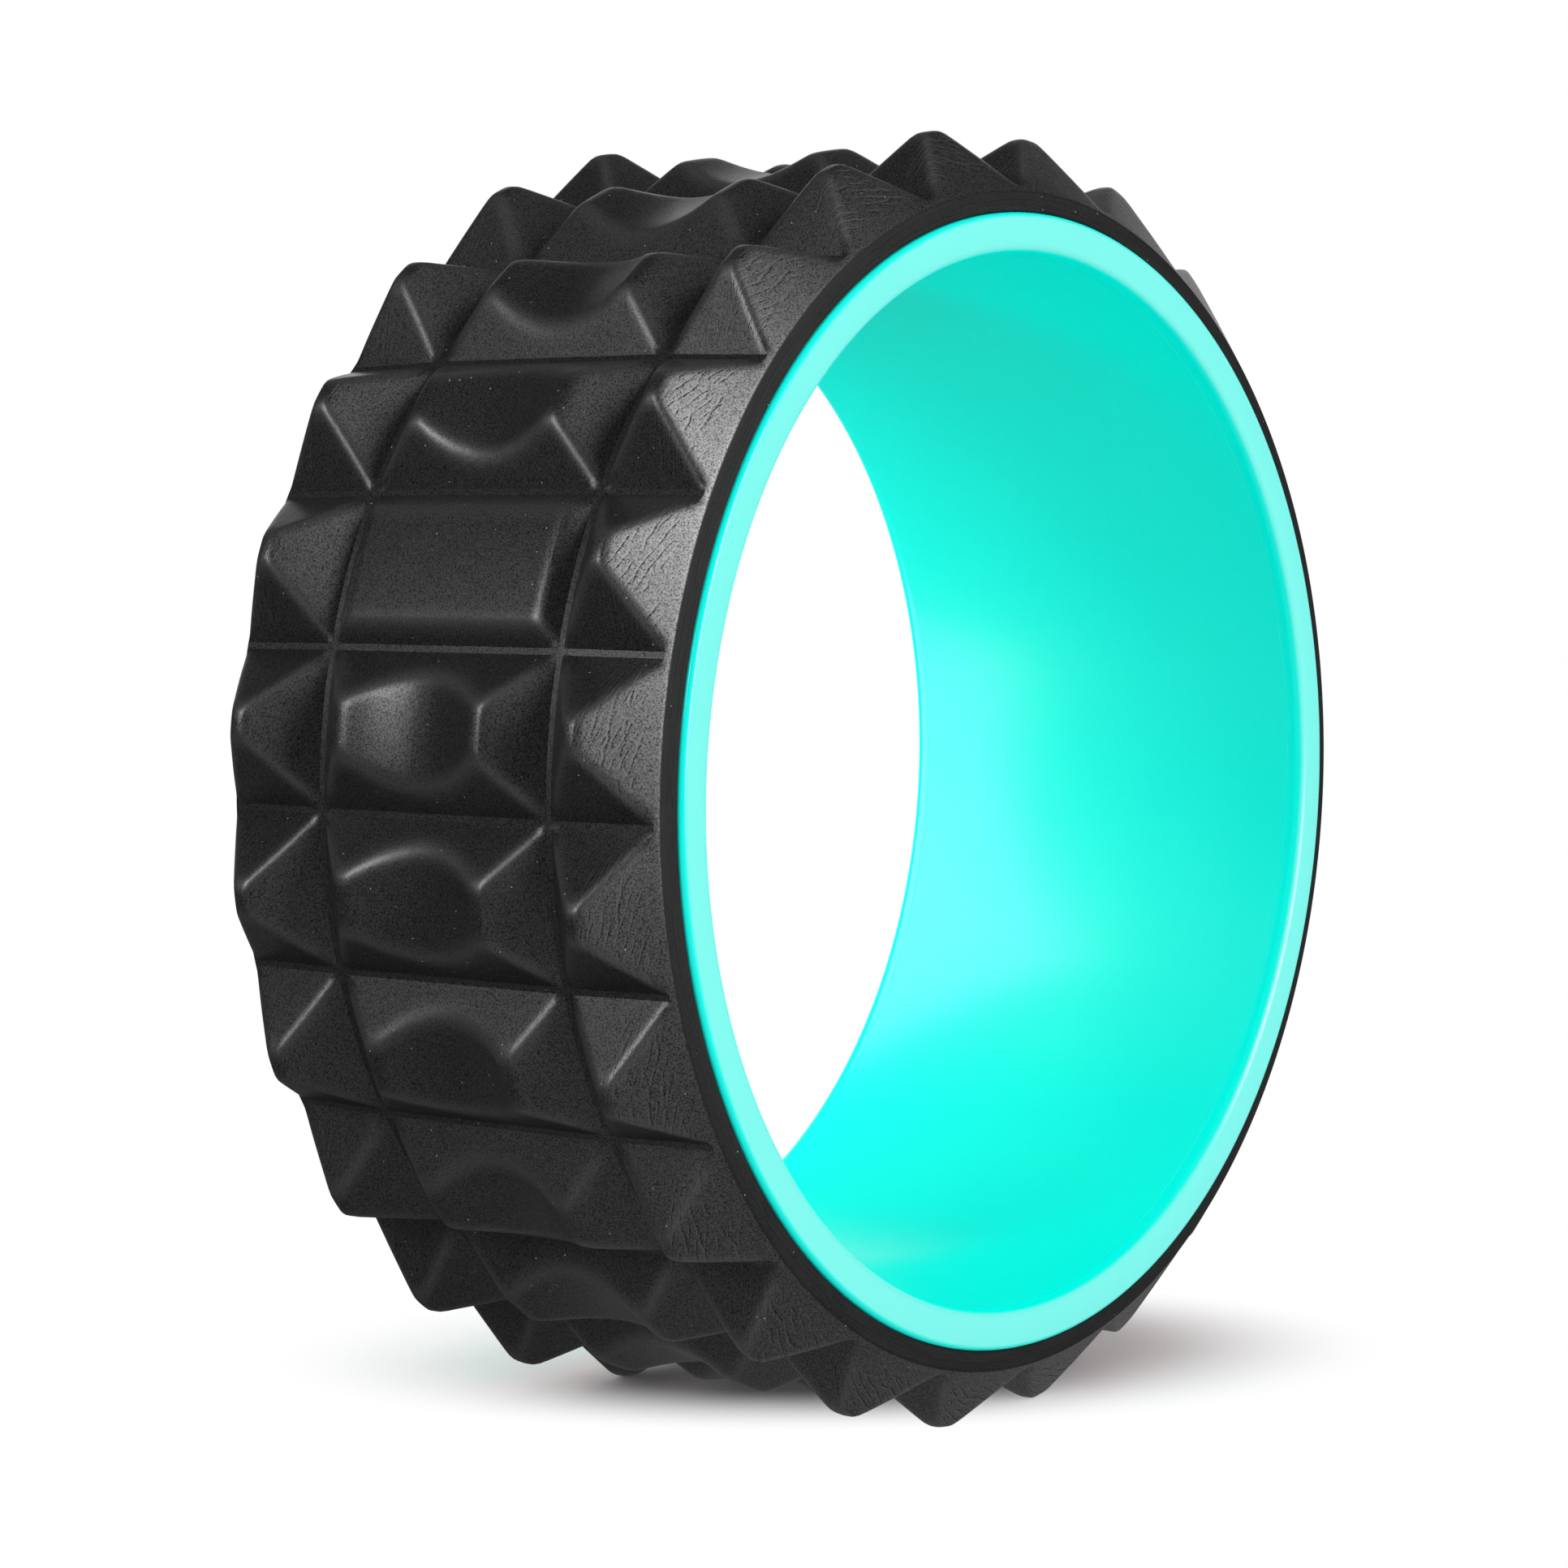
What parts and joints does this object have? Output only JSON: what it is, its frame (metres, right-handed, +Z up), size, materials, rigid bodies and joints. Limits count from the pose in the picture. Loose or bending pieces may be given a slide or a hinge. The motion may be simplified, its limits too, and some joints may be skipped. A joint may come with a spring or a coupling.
{
  "type": "back roller wheel",
  "caption": "Open plastic hoop with a bonded foam tread of pyramid knobs at the sides and scooped saddle blocks along the middle, for rolling under the back.",
  "frame": {"origin": "centre of the wheel's box, on its axis and midway between the hoop's near end and the foam's far side", "axes": "+Y along the wheel's axis, +Z up, +X to the right; the wheel stands on two rows of knobs below the origin"},
  "size_m": [0.3028, 0.1262, 0.3028],
  "materials": {
    "teal_plastic": "glossy moulded plastic",
    "charcoal_foam": "matt moulded closed-cell foam with a fine grain",
    "adhesive_film": "thin adhesive film"
  },
  "bodies": {
    "root": {"core_hoop": "teal_plastic", "bond_layer": "adhesive_film", "foam_tread": "charcoal_foam"}
  },
  "joints": []
}
